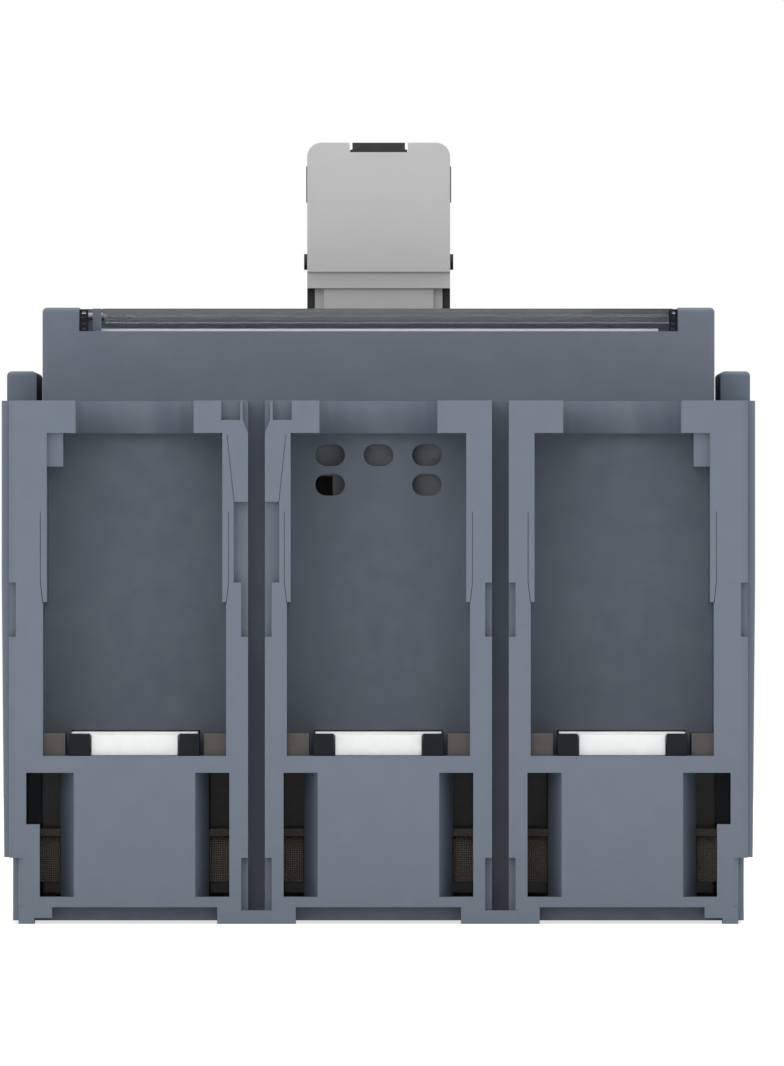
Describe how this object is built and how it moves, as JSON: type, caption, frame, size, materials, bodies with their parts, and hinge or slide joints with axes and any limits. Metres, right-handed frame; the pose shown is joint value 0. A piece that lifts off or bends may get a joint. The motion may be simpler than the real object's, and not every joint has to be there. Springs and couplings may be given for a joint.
{
  "type": "molded case circuit breaker",
  "caption": "Three-pole molded case circuit breaker with toggle handle, open terminal wells at both ends, trip unit dials under a clear flap and a trip button.",
  "frame": {"origin": "middle of the mounting plane under the feet", "axes": "+Z out of the breaker's front, where the handle is; +Y towards the line end; X across the poles, with the pictured load end facing -Y"},
  "size_m": [0.1394, 0.248, 0.1456],
  "materials": {
    "base_plastic": "fine matt moulded",
    "cover_plastic": "fine matt moulded",
    "front_plastic": "fine matt moulded",
    "label_sheet": "satin film",
    "clear_plastic": "clear smoked plastic",
    "light_plastic": "fine matt moulded",
    "black_plastic": "satin moulded",
    "screw_steel": "zinc plated",
    "frame_steel": "zinc plated",
    "pin_steel": "ground",
    "spring_steel": "bright drawn",
    "rotor_plastic": "moulded thermoset",
    "contact_copper": "rolled copper",
    "tinned_copper": "tin plated copper",
    "nut_steel": "zinc plated",
    "chute_steel": "fibre boards with plated steel plates",
    "grid_mesh": "woven heat-proof mesh",
    "winding_resin": "cast resin",
    "unit_plastic": "moulded",
    "circuit_board": "solder resist",
    "dial_plastic": "moulded",
    "button_plastic": "moulded",
    "retainer_plastic": "moulded",
    "keeper_plastic": "dark moulded",
    "spacer_fibre": "pressed fibre"
  },
  "bodies": {
    "housing": {"base_housing": "base_plastic", "main_cover": "cover_plastic", "front_cover": "front_plastic", "label_plate": "label_sheet", "cover_screws": "screw_steel", "front_cover_screws": "screw_steel", "mechanism_plate_left": "frame_steel", "mechanism_plate_right": "frame_steel", "mechanism_pins": "pin_steel", "trip_button_spring": "spring_steel", "rotor_bearing_caps": "rotor_plastic", "load_terminal_left": "tinned_copper", "load_terminal_middle": "tinned_copper", "load_terminal_right": "tinned_copper", "line_terminal_left": "tinned_copper", "line_terminal_middle": "tinned_copper", "line_terminal_right": "tinned_copper", "terminal_nuts": "nut_steel", "load_arc_chutes": "chute_steel", "line_arc_chutes": "chute_steel", "load_exhaust_grids": "grid_mesh", "line_exhaust_grids": "grid_mesh", "current_transformers": "winding_resin", "trip_solenoid": "winding_resin", "trip_unit_housing": "unit_plastic", "trip_circuit_board": "circuit_board", "trip_button_retainer": "retainer_plastic", "load_terminal_keepers": "keeper_plastic", "line_terminal_keepers": "keeper_plastic", "flap_seal_eyelets": "keeper_plastic", "terminal_spacers": "spacer_fibre"},
    "handle": {"handle_core": "black_plastic", "handle_shell_near": "light_plastic", "handle_shell_far": "light_plastic", "handle_shield": "black_plastic", "handle_yoke": "frame_steel", "main_springs": "spring_steel"},
    "cradle": {"cradle": "frame_steel"},
    "upper_links": {"upper_links": "frame_steel", "toggle_pin": "pin_steel"},
    "rotor": {"contact_rotor_left": "rotor_plastic", "contact_rotor_middle": "rotor_plastic", "contact_rotor_right": "rotor_plastic", "moving_contact_left": "contact_copper", "moving_contact_middle": "contact_copper", "moving_contact_right": "contact_copper", "rotor_rods": "pin_steel", "link_drive_pins": "pin_steel"},
    "lower_links": {"lower_links": "frame_steel"},
    "latch": {"latch_lever": "frame_steel"},
    "trip_bar": {"trip_bar": "button_plastic"},
    "trip_plunger": {"trip_plunger": "pin_steel"},
    "trip_button": {"trip_button": "button_plastic"},
    "flap": {"window_flap": "clear_plastic", "flap_hinge_pins": "screw_steel"},
    "overload_dial": {"overload_dial": "dial_plastic"},
    "delay_dial": {"delay_dial": "dial_plastic"},
    "fault_dial": {"fault_dial": "dial_plastic"}
  },
  "joints": [
    {"name": "handle_swing", "type": "hinge", "parent": "housing", "child": "handle", "pos_m": [0, 0.014, 0.062], "axis": [-1, 0, 0], "range_deg": [-20, 20], "deforming": ["main_springs"]},
    {"name": "rotor_turn", "type": "hinge", "parent": "housing", "child": "rotor", "pos_m": [0, 0.014, 0.033], "axis": [1, 0, 0], "range_deg": [-20, 20]},
    {"name": "cradle_reset", "type": "hinge", "parent": "housing", "child": "cradle", "pos_m": [0, 0.036, 0.068], "axis": [1, 0, 0], "range_deg": [0, 3], "stiffness_Nm_per_rad": 0.5, "springref_deg": -2.86},
    {"name": "upper_link_swing", "type": "hinge", "parent": "cradle", "child": "upper_links", "pos_m": [0, 0.02, 0.0724], "axis": [1, 0, 0], "range_deg": [-15.9, 15.9]},
    {"name": "lower_link_swing", "type": "hinge", "parent": "rotor", "child": "lower_links", "pos_m": [0, 0.00296, 0.03622], "axis": [1, 0, 0], "range_deg": [-23.5, 23.5]},
    {"name": "latch_release", "type": "hinge", "parent": "housing", "child": "latch", "pos_m": [0, -0.018, 0.064], "axis": [1, 0, 0], "range_deg": [0, 11.56]},
    {"name": "trip_bar_turn", "type": "hinge", "parent": "housing", "child": "trip_bar", "pos_m": [0, -0.026, 0.074], "axis": [-1, 0, 0], "range_deg": [0, 14.42]},
    {"name": "trip_button_press", "type": "slide", "parent": "housing", "child": "trip_button", "axis": [0, 0, -1], "range_m": [0, 0.003], "stiffness_N_per_m": 300, "springref_m": -0.002, "deforming": ["trip_button_spring"]},
    {"name": "plunger_strike", "type": "slide", "parent": "housing", "child": "trip_plunger", "axis": [0, 1, 0], "range_m": [0, 0.003], "stiffness_N_per_m": 100, "springref_m": -0.001},
    {"name": "flap_lift", "type": "hinge", "parent": "housing", "child": "flap", "pos_m": [0, -0.0257, 0.1127], "axis": [-1, 0, 0], "range_deg": [0, 90]},
    {"name": "overload_dial_turn", "type": "hinge", "parent": "housing", "child": "overload_dial", "pos_m": [-0.024, -0.046, 0.1059], "axis": [0, 0, 1], "range_deg": [-120, 120]},
    {"name": "delay_dial_turn", "type": "hinge", "parent": "housing", "child": "delay_dial", "pos_m": [0, -0.046, 0.1059], "axis": [0, 0, 1], "range_deg": [-120, 120]},
    {"name": "fault_dial_turn", "type": "hinge", "parent": "housing", "child": "fault_dial", "pos_m": [0.024, -0.046, 0.1059], "axis": [0, 0, 1], "range_deg": [-120, 120]}
  ],
  "couplings": [
    {"joint": "rotor_turn", "follows": "handle_swing", "ratio": 1},
    {"joint": "upper_link_swing", "follows": "handle_swing", "ratio": 0.79},
    {"joint": "lower_link_swing", "follows": "handle_swing", "ratio": -1.17},
    {"joint": "trip_bar_turn", "follows": "trip_button_press", "rad_per_m": 83.333},
    {"joint": "latch_release", "follows": "trip_button_press", "rad_per_m": 66.667}
  ]
}
